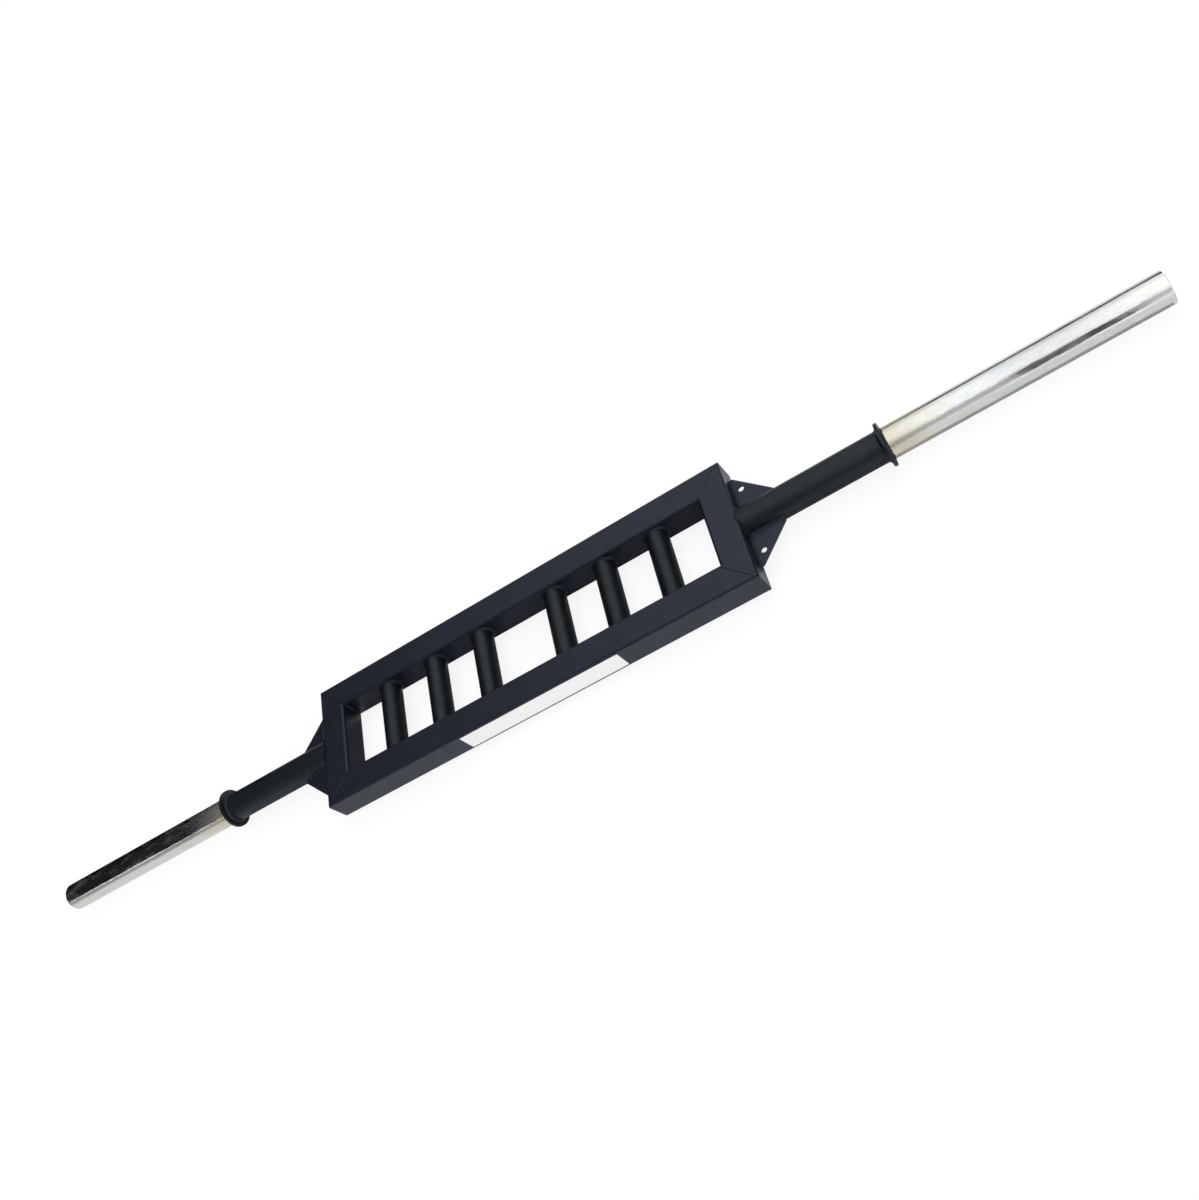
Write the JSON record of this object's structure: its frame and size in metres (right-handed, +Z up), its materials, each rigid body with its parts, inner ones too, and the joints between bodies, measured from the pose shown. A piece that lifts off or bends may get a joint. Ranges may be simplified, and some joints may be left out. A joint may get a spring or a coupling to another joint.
{
  "type": "swiss bar",
  "caption": "Multi-grip barbell: a welded rectangular frame with parallel inner handles, and a collared sleeve for weight plates at each end.",
  "frame": {"origin": "middle of the bar, on the axis of its sleeves", "axes": "+X along the bar to the right-hand sleeve, +Y along the handles away from the labelled rail, +Z up from the frame's broad side"},
  "size_m": [2.12, 0.2314, 0.07],
  "materials": {
    "black_powder_coat": "satin black powder coat on steel",
    "zinc_plated_steel": "bright zinc plating on drawn steel tube",
    "black_plastic": "moulded black polyethylene",
    "white_label": "blank white vinyl sticker"
  },
  "bodies": {
    "root": {"rail_front": "black_powder_coat", "rail_rear": "black_powder_coat", "end_member_right": "black_powder_coat", "end_member_left": "black_powder_coat", "handle_right_inner": "black_powder_coat", "handle_right_middle": "black_powder_coat", "handle_right_outer": "black_powder_coat", "handle_left_inner": "black_powder_coat", "handle_left_middle": "black_powder_coat", "handle_left_outer": "black_powder_coat", "arm_tube_right": "black_powder_coat", "arm_tube_left": "black_powder_coat", "collar_right": "black_powder_coat", "collar_left": "black_powder_coat", "gusset_rear_right": "black_powder_coat", "gusset_front_right": "black_powder_coat", "gusset_front_left": "black_powder_coat", "gusset_rear_left": "black_powder_coat", "sleeve_right": "zinc_plated_steel", "sleeve_left": "zinc_plated_steel", "end_plug_right": "black_plastic", "end_plug_left": "black_plastic", "label": "white_label"}
  },
  "joints": []
}
